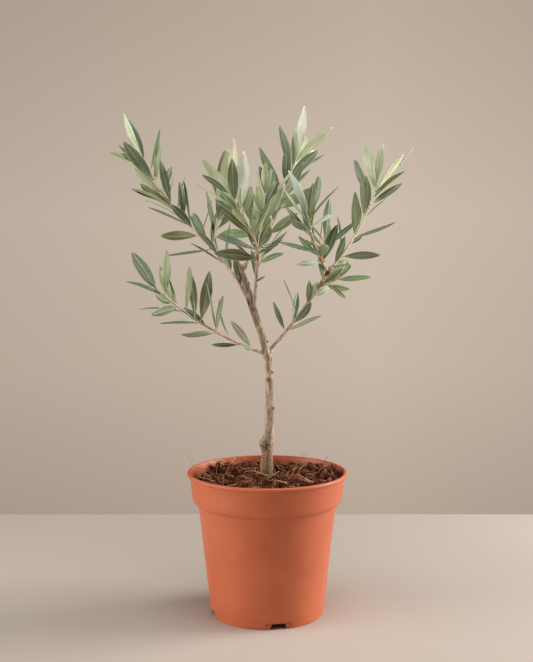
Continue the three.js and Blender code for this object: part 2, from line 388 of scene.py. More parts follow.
def slanted_block(inner, outer, foot_width, top_width, height):
    """A block along +X from one radius to another, narrower at its top. It starts 1 mm below the pot."""
    middle = (inner + outer) / 2 * MM
    select_none()
    bpy.ops.mesh.primitive_cube_add(size=1, location=(middle, 0, (height - 1) / 2 * MM))
    block = bpy.context.object
    block.scale = ((outer - inner) * MM, foot_width * MM, (height + 1) * MM)
    settle(block)
    top = [f.index for f in block.data.polygons if f.normal.z > 0.9][0]
    bpy.ops.object.mode_set(mode="EDIT")
    bpy.ops.mesh.select_all(action="DESELECT")
    bpy.ops.object.mode_set(mode="OBJECT")
    block.data.polygons[top].select = True
    bpy.ops.object.mode_set(mode="EDIT")
    bpy.ops.transform.resize(value=(1, top_width / foot_width, 1), center_override=(middle, 0, 0))
    bpy.ops.object.mode_set(mode="OBJECT")
    return block


notch_turn = -78.5
clear = foot_radius + 4
drain_radius = 4.5
drain_place = (34 * MM, 0, plate_under * MM)
recess = slanted_block(foot_radius - 1.3, clear, foot_width=26.5, top_width=22.0, height=5.6)
cut_round_the_foot(pot, recess, notch_turn)
opening = slanted_block(foot_radius - 6, clear, foot_width=15.5, top_width=11.5, height=plate_under)
cut_round_the_foot(pot, opening, notch_turn)
select_none()
bpy.ops.mesh.primitive_cylinder_add(
    vertices=24, radius=drain_radius * MM, depth=6 * MM, location=drain_place
)
drain = settle(bpy.context.object)
cut_round_the_foot(pot, drain, notch_turn)
print("pot after cutting:", len(pot.data.polygons), "faces")

# %% Pot edges
edges = take(pot).modifiers.new("moulded_edges", "BEVEL")
edges.width = 0.25 * MM
edges.segments = 2
edges.limit_method = "ANGLE"
edges.angle_limit = math.radians(50)
bpy.ops.object.modifier_apply(modifier="moulded_edges")
bpy.ops.object.shade_smooth_by_angle(angle=math.radians(32))
print("pot finished:", len(pot.data.polygons), "faces")

# %% [markdown]
# ### Its finish
#
# Terracotta-coloured polypropylene, straight from a satin mould: a broad soft highlight, a surface that
# is a little uneven where the plastic shrank, and pale scuffs from handling that are about half a
# millimetre across.

# %% Terracotta polypropylene
pot_finish, tree, shader, place = new_finish(
    "terracotta_polypropylene", {"Roughness": 0.44, "IOR": 1.49, "Specular IOR Level": 0.42}
)
shrink = add_node(
    tree, "TexNoise", inputs={"Vector": place, "Scale": 1 / (30 * MM), "Detail": 3.0, "Roughness": 0.5}
)
tone = add_node(tree, "ValToRGB", inputs={"Fac": shrink}, stops=[(0.3, "#B85D3A"), (0.7, "#C26640")])
scuff = add_node(
    tree, "TexVoronoi", {"feature": "F1"}, {"Vector": place, "Scale": 1 / (11 * MM), "Randomness": 1.0}
).node.outputs
dealt = add_node(tree, "SeparateColor", inputs={"Color": scuff["Color"]}, output="Red")
scuffed = add_node(tree, "Math", {"operation": "GREATER_THAN"}, {0: dealt, 1: 0.72})
colour = painted(tree, tone, "#E0A88A", scuff["Distance"], low=0.055, high=0.03, most=0.4, where=scuffed)
tree.links.new(colour, shader.inputs["Base Color"])
shine = add_node(
    tree, "MapRange", inputs={"Value": shrink, "From Min": 0.2, "From Max": 0.8, "To Min": 0.4, "To Max": 0.5}
)
tree.links.new(shine, shader.inputs["Roughness"])
# The mould's satin grain is about a tenth of a millimetre across. It is drawn at 0.9 mm, so that it shows.
grain = add_node(
    tree, "TexNoise", inputs={"Vector": place, "Scale": 1 / (0.9 * MM), "Detail": 2.0, "Roughness": 0.6}
)
bump = add_node(tree, "Bump", inputs={"Height": grain, "Strength": 0.12, "Distance": 0.05 * MM})
tree.links.new(bump, shader.inputs["Normal"])
pot.data.materials.clear()
pot.data.materials.append(pot_finish)
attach(pot, "root")
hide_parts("pot")
print("pot box in mm:", [round(v / MM, 1) for v in pot.dimensions])

# %% [markdown]
# ## The compost
#
# The pot is filled almost to the rim with coir and bark: loose clods a centimetre across, crumbs a few
# millimetres across between them, and fibres of every brown lying over it all. A displaced disc makes
# the clods. The crumbs and fibres are hundreds of small shapes, so they are built as joined meshes from
# arrays, each one scattered by a dice whose seed is fixed.

# %% Lie of the compost
compost_radius = collar_foot + 1.9 - wall - 0.35
compost_level = 119.0
clod_width = 10.0
clod_x, clod_y = -46, 14  # a dark lump of bark that stands proud of the rest


def compost_height(x, y):
    """How high the compost lies at a place, in millimetres: mounded in the middle with a hollow round
    the trunk, a little higher to the right, and washed down against the pot at the left and the back."""
    radius = math.hypot(x, y)
    spot = Vector((x / clod_width, y / clod_width, 0.3))
    clods = 10.0 * noise.noise(spot) + 4.0 * noise.noise(spot * 2.1 + Vector((7.0, 3.0, 1.0)))
    crumbs = 1.5 * noise.noise(spot * 5.1 + Vector((2.0, 9.0, 4.0))) + 0.7 * noise.noise(spot * 12.0)
    mound = 2.0 * (1 - (radius / compost_radius) ** 2)
    hollow = -1.5 * math.exp(-((radius / 9.0) ** 2))
    lean = 0.03 * x
    washed_left = -4.0 * math.exp(-(((x + 58) / 13) ** 2) - ((y - 6) / 32) ** 2)
    washed_back = -3.0 * math.exp(-(((y - 62) / 24) ** 2))
    on_clod = math.exp(-(((x - clod_x) / 8) ** 4) - ((y - clod_y) / 7.5) ** 2)
    edge = min(1.0, max(0.0, (compost_radius - radius) / 6.0))
    uneven = (clods * (1 - on_clod) + crumbs) * (0.35 + 0.65 * edge)
    return compost_level + mound + hollow + lean + washed_left + washed_back + 8.5 * on_clod + uneven


def in_gap(x, y):
    """Whether a place lies down between the clods, where little has settled and the near-black bed shows as
    painted shade.
    """
    return compost_height(x, y) < compost_level + 0.2 + 0.03 * x


def by_dark_clod(x, y, reach):
    """Whether a place is within reach of the front of the dark lump, in millimetres."""
    return math.hypot(x - clod_x, y - clod_y + 2) < reach


# %% Clods
select_none()
flat_level = 100 * MM
compost_foot = 101 * MM
bpy.ops.mesh.primitive_circle_add(
    vertices=160, radius=compost_radius * MM, fill_type="NOTHING", location=(0, 0, flat_level)
)
compost = bpy.context.object
compost.name = "compost_clods"
settle(compost)
bpy.ops.object.mode_set(mode="EDIT")
bpy.ops.mesh.select_all(action="SELECT")
reach = compost_radius
rings = 62
for ring in range(rings):
    smaller = compost_radius * (1 - (ring + 1) / (rings + 1))
    bpy.ops.mesh.extrude_edges_move(TRANSFORM_OT_translate={"value": (0, 0, 0)})
    bpy.ops.transform.resize(
        value=(smaller / reach, smaller / reach, 1), center_override=(0, 0, flat_level)
    )
    reach = smaller
bpy.ops.mesh.edge_face_add()
bpy.ops.mesh.select_all(action="SELECT")
bpy.ops.mesh.normals_make_consistent(inside=False)
bpy.ops.object.mode_set(mode="OBJECT")
for vertex in compost.data.vertices:
    vertex.co.z = compost_height(vertex.co.x / MM, vertex.co.y / MM) * MM
bpy.ops.object.mode_set(mode="EDIT")
bpy.ops.mesh.select_all(action="DESELECT")
bpy.ops.mesh.select_non_manifold()
bpy.ops.mesh.extrude_edges_move(TRANSFORM_OT_translate={"value": (0, 0, -14 * MM)})
bpy.ops.transform.resize(value=(0.93, 0.93, 0), center_override=(0, 0, compost_foot))
bpy.ops.mesh.edge_face_add()
bpy.ops.mesh.select_all(action="SELECT")
bpy.ops.mesh.normals_make_consistent(inside=False)
bpy.ops.object.mode_set(mode="OBJECT")
bpy.ops.object.shade_smooth()
print("compost surface:", len(compost.data.polygons), "faces")


# %% Crumbs of bark and coir
trunk_gap = 9.0


def crumb_shape():
    """A ball of 42 points to be dented into a crumb."""
    select_none()
    bpy.ops.mesh.primitive_ico_sphere_add(subdivisions=2, radius=1)
    ball = bpy.context.object
    points = np.array([v.co[:] for v in ball.data.vertices])
    faces = [tuple(f.vertices) for f in ball.data.polygons]
    bpy.data.objects.remove(ball)
    return points, faces


def scatter_crumbs(count, seed):
    """Dented, flattened balls lying about the compost, with a shade number for each face."""
    dice = random.Random(seed)
    ball, ball_faces = crumb_shape()
    crumbs, shades = [], []
    for _ in range(count):
        radius = (compost_radius - 3.0) * math.sqrt(dice.random())
        around = dice.uniform(0, 2 * math.pi)
        x, y = radius * math.cos(around), radius * math.sin(around)
        size = dice.uniform(0.6, 1.6) * (1.8 if dice.random() < 0.15 else 1.0)
        if radius < trunk_gap or in_gap(x, y) and dice.random() < 0.85:
            continue
        stretch = np.array([dice.uniform(0.8, 2.6), dice.uniform(0.5, 1.1), dice.uniform(0.3, 0.7)])
        dents = np.array([1 + 0.7 * noise.noise(Vector(p) * 1.9 + Vector((x, y, size))) for p in ball])
        tilt_x, tilt_y, turn = dice.uniform(-0.6, 0.6), dice.uniform(-0.6, 0.6), dice.uniform(0, 6.3)
        # A turn about Z with a rough tilt, which skews a crumb a little more.
        spin = np.array(
            [
                [math.cos(turn), -math.sin(turn), math.sin(tilt_y)],
                [math.sin(turn), math.cos(turn), -math.sin(tilt_x)],
                [-math.sin(tilt_y), math.sin(tilt_x), 1.0],
            ]
        )
        shape = (ball * dents[:, None] * stretch * size) @ spin.T
        crumbs.append((shape + np.array([x, y, compost_height(x, y) + 0.35 * size]), ball_faces))
        shades += [0 if by_dark_clod(x, y, 10) else dice.choice((0, 0, 1, 1, 1))] * len(ball_faces)
    points, faces = gathered(crumbs)
    return points * MM, faces, shades


crumb_points, crumb_faces, crumb_shades = scatter_crumbs(900, seed=5)
print("crumbs:", len(crumb_faces), "faces")


# %% Fibres
def tube(line, radii, sides):
    """Points and faces of a closed tube along a line, its two ends capped."""
    line = np.asarray(line, float)
    ahead = np.gradient(line, axis=0)
    ahead /= np.linalg.norm(ahead, axis=1, keepdims=True)
    across = np.cross(ahead[0], (0.31, 0.17, 0.94))
    points = []
    for place, forward, radius in zip(line, ahead, radii):
        across = across - forward * (across @ forward)
        across /= np.linalg.norm(across)
        beside = np.cross(forward, across)
        turns = np.arange(sides) * 2 * math.pi / sides
        points.append(place + radius * (np.cos(turns)[:, None] * across + np.sin(turns)[:, None] * beside))
    faces = [tuple(range(sides - 1, -1, -1))]
    for ring in range(len(line) - 1):
        low = ring * sides
        for side in range(sides):
            right = (side + 1) % sides
            faces.append((low + side, low + right, low + sides + right, low + sides + side))
    last = (len(line) - 1) * sides
    faces.append(tuple(range(last, last + sides)))
    return np.concatenate(points), faces


def fibre_line(x, y, heading, length, rise, curl, lift, steps=6):
    """A springy fibre that drifts sideways as it rests on the clods; a larger `rise` tilts it upwards."""
    shares = np.linspace(0, 1, steps + 1)
    side = curl * shares**2
    px = x + length * shares * math.cos(heading) - side * math.sin(heading)
    py = y + length * shares * math.sin(heading) + side * math.cos(heading)
    inside = np.hypot(px, py) < compost_radius - 0.6
    if rise < 0.25 and not inside.all():
        return []
    if rise > 0.25:
        return np.stack([px, py, compost_height(x, y) + lift + length * shares * rise], axis=1)
    ground = np.array([compost_height(at, by) for at, by in zip(px, py)])
    straight = ground[0] + (ground[-1] - ground[0]) * shares
    straight += 0.6 * max(0.0, (ground - straight).max())
    return np.stack([px, py, 0.65 * straight + 0.35 * ground + lift + length * shares * rise], axis=1)


def scatter_fibres(count, coarse, seed):
    """Fine fibres lying over the crumbs, a few that stand up, some coarse pale ones on top, and two long
    ones that reach out over the rim. Each is a closed tube, with a shade number for each face."""
    dice = random.Random(seed)
    tubes, shades = [], []
    for number in range(count + coarse):
        radius = (compost_radius - 4.0) * math.sqrt(dice.random())
        around = dice.uniform(0, 2 * math.pi)
        x, y = radius * math.cos(around), radius * math.sin(around)
        standing = dice.random() < 0.04
        rise = dice.uniform(0.35, 1.1) if standing else 0.0
        length = dice.uniform(5, 17) * (0.6 if standing else 1.0)
        heading = dice.uniform(0, 2 * math.pi)
        curl = dice.uniform(-0.35, 0.35) * length
        thick = dice.uniform(0.13, 0.34)
        lift = dice.uniform(0.3, 1.9)
        shade = dice.choice((0, 0, 1, 1, 2, 2, 3))
        if number >= count:
            length, thick, shade = dice.uniform(8, 24), dice.uniform(0.28, 0.46), 4
            rise, curl = dice.uniform(0.0, 0.5), curl * 0.35
        elif in_gap(x, y) and dice.random() < 0.93 or by_dark_clod(x, y, 8):
            continue
        line = fibre_line(x, y, heading, length, rise, curl, lift)
        if len(line) < 4 or radius < trunk_gap - 1.5:
            continue
        tubes.append(tube(line, np.linspace(thick, thick * 0.5, len(line)), sides=4))
        shades += [shade] * len(tubes[-1][1])
    for line in ([(-52, 2, 119), (-62, 1, 127), (-68, 0, 135), (-71, 0, 142)],
                 [(50, 22, 121), (57, 24, 127), (61, 25, 131)]):
        tubes.append(tube(line, np.linspace(0.26, 0.16, len(line)), sides=4))
        shades += [3] * len(tubes[-1][1])
    points, faces = gathered(tubes)
    return points * MM, faces, shades


fibre_points, fibre_faces, fibre_shades = scatter_fibres(3400, coarse=52, seed=11)
print("fibres:", len(fibre_faces), "faces")


# %% Coir finishes
def coir(name, dark, light):
    """Dry coir and bark: no shine, each crumb mottled over a millimetre or two."""
    finish, tree, shader, place = new_finish(name, {"Roughness": 0.95, "Specular IOR Level": 0.15})
    mottle = add_node(
        tree, "TexNoise", inputs={"Vector": place, "Scale": 1 / (2.2 * MM), "Detail": 4.0, "Roughness": 0.65}
    )
    brown = add_node(tree, "ValToRGB", inputs={"Fac": mottle}, stops=[(0.32, dark), (0.68, light)])
    tree.links.new(brown, shader.inputs["Base Color"])
    threads = add_node(
        tree, "TexNoise", inputs={"Vector": place, "Scale": 1 / (0.6 * MM), "Detail": 2.0, "Roughness": 0.7}
    )
    bump = add_node(tree, "Bump", inputs={"Height": threads, "Strength": 0.8, "Distance": 0.4 * MM})
    tree.links.new(bump, shader.inputs["Normal"])
    return finish


coir_browns = [
    coir("coir_dark", "#240E08", "#5C2E1E"),
    coir("coir_brown", "#4C2214", "#985638"),
    coir("coir_tan", "#74402A", "#B87850"),
    coir("coir_straw", "#A06F4B", "#D8AC84"),
    coir("coir_pale_straw", "#B5865F", "#E2BA92"),
]
compost.data.materials.clear()
# The bed is dark coir, which the dark lump of bark shares, painted near black as the shade in the hollows
# between the clods.
compost.data.materials.append(coir("compost_bed_with_painted_shade", "#160704", "#4A2416"))
crumbs = mesh_piece("compost_crumbs", crumb_points, crumb_faces, crumb_shades, coir_browns)
fibres = mesh_piece("coir_fibres", fibre_points, fibre_faces, fibre_shades, coir_browns)
for piece in (compost, crumbs, fibres):
    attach(piece, "root")
    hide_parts("compost")
print("compost pieces:", [piece.name for piece in (compost, crumbs, fibres)])

# %% [markdown]
# ## Trunk and boughs
#
# The trunk is a rooted cutting some years old: a swollen heel just above the compost, smooth grey-tan
# bark, the scars of shoots that were rubbed off, and at the top the dead stub of the first leader. Each
# limb leaves its parent at a fork and turns evenly through a few headings and rises, which is how the
# solids were made too, so a limb's line here lies inside its solid. Rings of points follow the line,
# and a voxel remesh melts limbs that meet into one skin. The bark's relief is then pressed into that
# skin with noise, stretched along the grain.

# %% Limbs
# The solids have the first nine. The three side twigs are too thin to be solids of their own, and carry
# leaves into the masses beside their parents.
limbs = {
    "trunk": dict(
        length=195, heading=(180, 180), rise=(90, 95, 90, 85, 70, 75, 65),
        radii=(6.0, 5.2, 4.2, 4.0, 3.8, 3.6, 3.4, 3.2, 3.4, 3.0, 1.0),
    ),
    "lower_left": dict(
        parent="trunk", at=0.55, length=120, heading=(-160, -145), rise=(20, 40),
        radii=(1.5, 1.2, 0.9, 0.5),
    ),
    "right": dict(
        parent="trunk", at=0.55, length=90, heading=(20, 0), rise=(45, 60), radii=(2.1, 1.8, 1.6, 1.8),
    ),
    "centre": dict(
        parent="trunk", at=0.75, length=125, heading=(-75, -90, -170), rise=(80, 35, 65),
        radii=(1.8, 1.4, 1.0, 0.5),
    ),
    "upper_left": dict(
        parent="trunk", at=0.75, length=170, heading=(165, 160), rise=(65, 40, 65),
        radii=(1.7, 1.4, 1.0, 0.5),
    ),
    "back": dict(
        parent="trunk", at=0.95, length=135, heading=(45, 70), rise=(30, 55, 50), radii=(1.5, 1.2, 0.9, 0.5),
    ),
    "inner_right": dict(
        parent="right", at=1.0, length=65, heading=(-115, -115), rise=(30, 60), radii=(1.3, 1.0, 0.5),
    ),
    "outer_right": dict(
        parent="right", at=1.0, length=100, heading=(45, 40), rise=(35, 65), radii=(1.4, 1.1, 0.8, 0.5),
    ),
    "low_right": dict(
        parent="right", at=0.85, length=25, heading=(-30, -60), rise=(10, 35), radii=(1.0, 0.7, 0.5),
    ),
    "upper_left_side": dict(
        parent="upper_left", at=0.4, length=50, heading=(60, 60), rise=(60, 75), radii=(1.0, 0.8, 0.5),
    ),
    "centre_side": dict(
        parent="centre", at=0.45, length=55, heading=(80, 60), rise=(60, 75), radii=(1.0, 0.8, 0.5),
    ),
    "inner_right_side": dict(
        parent="inner_right", at=0.3, length=25, heading=(60, 100), rise=(40, 60), radii=(0.9, 0.7, 0.5),
    ),
}
trunk_foot = (-0.6, 0.0, 120.8)


def blend(values, t):
    """A value that runs evenly through the given ones as t goes from 0 to 1."""
    return np.interp(t, np.linspace(0, 1, len(values)), values)


def limb_line(start, length, heading, rise, steps=96):
    """Points from a fork to a tip, in millimetres."""
    middles = (np.arange(steps) + 0.5) / steps
    turn = np.radians(blend(heading, middles))
    climb = np.radians(blend(rise, middles))
    ahead = np.stack([np.cos(climb) * np.cos(turn), np.cos(climb) * np.sin(turn), np.sin(climb)], axis=1)
    return np.vstack([start, start + np.cumsum(ahead, axis=0) * length / steps])


def at_place(line, t):
    """The point a share t of the way along a line."""
    return np.array([np.interp(t, np.linspace(0, 1, len(line)), line[:, axis]) for axis in range(3)])


lines = {}
for name, limb in limbs.items():
    start = at_place(lines[limb["parent"]], limb["at"]) if "parent" in limb else np.array(trunk_foot)
    lines[name] = limb_line(start, limb["length"], limb["heading"], limb["rise"])
    print(f"{name}: tip at", lines[name][-1].round(1))


# %% Limb skins
collar_length = 4.0


def limb_skin(name, sides, spacing, flare=0.0, sink=0.0):
    """A tube along a limb. A flare thickens its foot like a collar; sink starts it inside its parent."""
    line, radii = lines[name], limbs[name]["radii"]
    length = limbs[name]["length"]
    places = np.linspace(0, 1, int(length / spacing) + 1)
    points = np.array([at_place(line, t) for t in places])
    thick = blend(radii, places) * (1 + flare * np.exp(-((places * length / collar_length) ** 2)))
    if sink:
        back = points[0] - (points[1] - points[0]) / np.linalg.norm(points[1] - points[0]) * sink
        points = np.vstack([back, points])
        thick = np.r_[thick[0], thick]
    tip = points[-1] + (points[-1] - points[-2]) / np.linalg.norm(points[-1] - points[-2]) * thick[-1]
    return tube(np.vstack([points, tip]), np.r_[thick, thick[-1] * 0.45], sides)


def melt(name, skins, voxel, smoothing):
    """Joins tubes and remeshes them into one closed skin."""
    points, faces = gathered(skins)
    piece = mesh_piece(name, points * MM, faces)
    skin = take(piece).modifiers.new("melt", "REMESH")
    skin.mode = "VOXEL"
    skin.voxel_size = voxel * MM
    skin.use_smooth_shade = True
    bpy.ops.object.modifier_apply(modifier="melt")
    soften = piece.modifiers.new("soften", "SMOOTH")
    soften.factor = 0.5
    soften.iterations = smoothing
    bpy.ops.object.modifier_apply(modifier="soften")
    return piece


trunk_line = lines["trunk"]
stub_start = at_place(trunk_line, 0.93)
side_stub = limb_line(stub_start, length=9.0, heading=(25, 40), rise=(40, 62), steps=12)
trunk = melt(
    "trunk_bark",
    [limb_skin("trunk", sides=28, spacing=1.0), tube(side_stub, np.linspace(1.3, 0.5, 13), sides=10)],
    voxel=0.42,
    smoothing=4,
)
right_fork = at_place(lines["right"], 1.0)
knob_line = [right_fork + np.array([0.4, -0.8, z]) for z in (-1.5, 0.5, 2.0, 3.2)]
knob = tube(knob_line, (1.9, 2.1, 1.9, 1.3), sides=12)
bough_names = [name for name in limbs if name != "trunk"]
boughs = melt(
    "bough_bark",
    [limb_skin(name, sides=14, spacing=1.2, flare=0.45, sink=1.5) for name in bough_names] + [knob],
    voxel=0.36,
    smoothing=3,
)
print("trunk:", len(trunk.data.polygons), "faces; boughs:", len(boughs.data.polygons), "faces")


# %% Knots, scars and the swollen heel
def facing(degrees):
    """A level direction as a vector: 0 is +X and -90 is towards the front."""
    return np.array([math.cos(math.radians(degrees)), math.sin(math.radians(degrees)), 0.0])


def trunk_spot(t, heading):
    """The point on the trunk's skin at a place along it, on the side that faces a heading."""
    return at_place(trunk_line, t) + facing(heading) * blend(limbs["trunk"]["radii"], t)


def press(piece, spots):
    """Swells the skin round each spot: (place, how far out, width), or in where it is negative."""
    mesh = piece.data
    count = len(mesh.vertices)
    points = np.empty(count * 3)
    normals = np.empty(count * 3)
    mesh.vertices.foreach_get("co", points)
    mesh.vertex_normals.foreach_get("vector", normals)
    points = points.reshape(-1, 3) / MM
    normals = normals.reshape(-1, 3)
    for place, out, width in spots:
        near = np.exp(-((np.linalg.norm(points - place, axis=1) / width) ** 2))
        points += normals * (out * near)[:, None]
    mesh.vertices.foreach_set("co", (points * MM).ravel())
    mesh.update()
    return points, normals


heel = trunk_spot(0.15, 180)
front_knot = trunk_spot(0.44, -100)
# The heel and the waist below it, the front knot with its dent, small scars, and the swollen forks.
press(
    trunk,
    [
        (heel, 2.9, 4.2),
        (trunk_spot(0.15, -135), 1.1, 3.2),
        (trunk_spot(0.09, 180), -0.7, 3.5),
        (trunk_spot(0.1, 0), -0.7, 4.0),
        (front_knot, 1.5, 2.6),
        (front_knot, -1.2, 1.0),
        (trunk_spot(0.31, -25), 0.9, 1.5),
        (trunk_spot(0.31, -25) + facing(-25) * 0.4, -0.6, 0.6),
        (trunk_spot(0.47, -20), 0.8, 1.4),
        (trunk_spot(0.31, -165), 0.45, 1.3),
        (trunk_spot(0.2, -150), 0.4, 1.2),
        (trunk_spot(0.61, -15), 0.5, 1.3),
        (trunk_spot(0.54, -150), 0.7, 2.4),
        (trunk_spot(0.53, -10), 0.7, 2.6),
        (trunk_spot(0.75, -60), 0.6, 2.4),
        (trunk_spot(0.88, -20), 0.5, 1.6),
    ],
)
print("heel stands at", heel.round(1), "and the front knot at", front_knot.round(1))


# %% Bark relief
def press_bark(piece, depth, grain, wrinkle, seed):
    """Presses noise into a skin: fine wrinkles across, drawn out along the grain by `grain`."""
    mesh = piece.data
    points, normals = press(piece, [])
    offset = Vector((seed, seed * 0.37, 0))
    stretch = np.array([1, 1, 1 / grain]) / wrinkle
    for i, (point, normal) in enumerate(zip(points, normals)):
        spot = Vector(point * stretch) + offset
        height = noise.noise(spot) + 0.5 * noise.noise(spot * 2.3) + 0.35 * noise.noise(Vector(point / 1.1))
        points[i] = point + normal * depth * height
    mesh.vertices.foreach_set("co", (points * MM).ravel())
    mesh.update()


press_bark(trunk, depth=0.2, grain=5.0, wrinkle=1.7, seed=3.0)
press_bark(boughs, depth=0.09, grain=1.6, wrinkle=1.3, seed=8.0)
print("bark pressed in")

# %% [markdown]
# ### Bark
#
# Young olive bark is smooth and tan, with a grey skin that splits lengthwise as the trunk thickens, so
# streaks of grey run down it. Low down it is yellower and peppered with dark corky specks, and scars
# are dark brown. On the boughs it is thinner and pinker, and it turns yellow green towards their tips.


# %% Bark finishes
def grain_noise(tree, place, across, along, detail):
    """Noise whose spots are `across` millimetres wide and `along` millimetres long up the piece."""
    drawn_out = add_node(tree, "Mapping", inputs={"Vector": place, "Scale": (1.0, 1.0, across / along)})
    size = {"Scale": 1 / (across * MM), "Detail": detail, "Roughness": 0.6}
    return add_node(tree, "TexNoise", inputs={"Vector": drawn_out} | size)


def painted_spot(tree, place, under, paint, spot, width, soft, most=1.0, where=None):
    """A round spot of colour laid over the last one, all in millimetres, with a soft edge."""
    middle = [float(v) * MM for v in spot]
    away = add_node(tree, "VectorMath", {"operation": "DISTANCE"}, {0: place, 1: middle}, output="Value")
    return painted(tree, under, paint, away, (width + soft) * MM, width * MM, most, where)


def bark(name, length, tan, pale, grey, crack):
    """Smooth bark: a pale and a tan layer, grey skin in streaks over it, and fine cracks lengthwise."""
    finish, tree, shader, place = new_finish(name, {"Roughness": 0.85, "Specular IOR Level": 0.25})
    layers = grain_noise(tree, place, across=1.3, along=length * 0.5, detail=3.0)
    skin = grain_noise(tree, place, across=3.2, along=length * 1.6, detail=4.0)
    cracks = grain_noise(tree, place, across=0.8, along=length * 0.45, detail=3.0)
    mottle = grain_noise(tree, place, across=1.2, along=1.5, detail=3.0)
    colour = add_node(tree, "ValToRGB", inputs={"Fac": layers}, stops=[(0.36, tan), (0.62, pale)])
    colour = painted(tree, colour, grey, skin, low=0.46, high=0.56, most=0.85)
    colour = painted(tree, colour, crack, cracks, low=0.47, high=0.36, most=0.75)
    colour = painted(tree, colour, crack, mottle, low=0.5, high=0.36, most=0.4)
    bump = add_node(tree, "Bump", inputs={"Height": cracks, "Strength": 0.6, "Distance": 0.35 * MM})
    fine = {"Height": mottle, "Strength": 0.5, "Distance": 0.25 * MM, "Normal": bump}
    tree.links.new(add_node(tree, "Bump", inputs=fine), shader.inputs["Normal"])
    return finish, tree, shader, place, colour


trunk_finish, tree, shader, place, colour = bark(
    "olive_bark_old", 11.0, "#B89B81", "#D4BDA5", "#8E8276", "#6E5844"
)
height = add_node(tree, "SeparateXYZ", inputs={"Vector": place}, output="Z")
colour = painted(tree, colour, "#8F6E4E", height, low=165 * MM, high=143 * MM, most=0.75)
cork = add_node(
    tree, "TexVoronoi", {"feature": "F1"}, {"Vector": place, "Scale": 1 / (1.9 * MM), "Randomness": 1.0}
)
low_down = add_node(
    tree, "MapRange", inputs={"Value": height, "From Min": 195 * MM, "From Max": 140 * MM, "To Max": 0.9}
)
colour = painted(tree, colour, "#433225", cork, low=0.44, high=0.26, where=low_down)
patchy = grain_noise(tree, place, across=1.7, along=2.0, detail=2.0)
blotches = add_node(tree, "MapRange", inputs={"Value": patchy, "From Min": 0.46, "From Max": 0.56})
# Each mark below: its middle, the radius of its full colour, how far its edge fades, and its colour.
stains = [
    (trunk_spot(0.14, -100), 1.6, 3.6, "#3B2C24"),
    (trunk_spot(0.13, -140), 1.4, 2.8, "#3B2C24"),
]
for spot, width, soft, shade in stains:
    colour = painted_spot(tree, place, colour, shade, spot, width, soft, where=blotches)
scars = [
    (front_knot, 1.9, 0.5, "#705040"),
    (front_knot, 1.2, 0.4, "#C29A76"),
    (front_knot + np.array([-0.8, 0, -0.3]), 0.5, 0.5, "#38241A"),
    (trunk_spot(0.31, -30) + facing(-30) * 0.5, 0.8, 0.8, "#3F281D"),
    (trunk_spot(0.47, -30) + facing(-30) * 0.4, 0.8, 0.8, "#452E22"),
    (trunk_spot(0.61, -25), 0.7, 0.8, "#4E392C"),
    (trunk_spot(0.79, -150), 1.3, 2.6, "#443A31"),
    (trunk_spot(0.76, -85), 1.0, 1.3, "#A0623A"),
    (trunk_spot(0.54, -165), 0.8, 1.0, "#7A5038"),
    (trunk_spot(0.53, -10), 0.8, 1.0, "#7A5038"),
    (trunk_spot(0.8, 190), 1.0, 3.0, "#554A40"),
    (at_place(trunk_line, 0.99), 2.0, 6.0, "#9A7A68"),
]
for spot, width, soft, shade in scars:
    colour = painted_spot(tree, place, colour, shade, spot, width, soft, most=0.85)
tree.links.new(colour, shader.inputs["Base Color"])

bough_finish, tree, shader, place, colour = bark(
    "olive_bark_young", 4.0, "#CFB198", "#E4CDB8", "#B09A8A", "#A0836C"
)
upper_fork = [float(v) * MM for v in trunk_line[70]]
from_fork = add_node(
    tree, "VectorMath", {"operation": "DISTANCE"}, {0: place, 1: upper_fork}, output="Value"
)
colour = painted(tree, colour, "#CBC493", from_fork, low=45 * MM, high=125 * MM, most=0.9)
for name in bough_names:
    collar = "#94603C" if name != "outer_right" else "#5E4434"
    colour = painted_spot(tree, place, colour, collar, lines[name][0], width=3.4, soft=1.6, most=0.75)
tree.links.new(colour, shader.inputs["Base Color"])
trunk.data.materials.append(trunk_finish)
boughs.data.materials.append(bough_finish)
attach(trunk, "root")
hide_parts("trunk")
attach(boughs, "root")
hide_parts(*[node for node in frame["nodes"] if node.startswith(("bough_", "twig_"))])
print("bark finishes:", trunk_finish.name, bough_finish.name)

# %% [markdown]
# ## Leaves
#
# Olive leaves come in opposite pairs, and each pair is turned a quarter round the twig from the pair
# below it. A spray is a run of such pairs, and this rule grows one: where the run starts on its limb,
# the step from pair to pair, the turn of its first pair, how wide the leaves spread from the twig at its
# foot and at its tip, their length, and the share of leaves lost. Each leaf is then turned up a little
# to the light, and a dice with a fixed seed makes it differ from the rest in place, turn and size.


# %% How a spray grows
def unit(vector):
    """The same direction, one long."""
    return vector / np.linalg.norm(vector)


def along_limb(name, distance):
    """The point on a limb at a distance from its fork, in millimetres, and the direction there."""
    line = lines[name]
    share = np.clip(distance / limbs[name]["length"], 0.0, 1.0)
    ahead = at_place(line, min(1.0, share + 0.02)) - at_place(line, max(0.0, share - 0.02))
    return at_place(line, share), unit(ahead)


def either_way(roll, most):
    """A roll of the dice from 0 to 1, as a number from -most to most."""
    return most * (2 * roll - 1)


to_light = 0.3  # how strongly a leaf turns up to the light


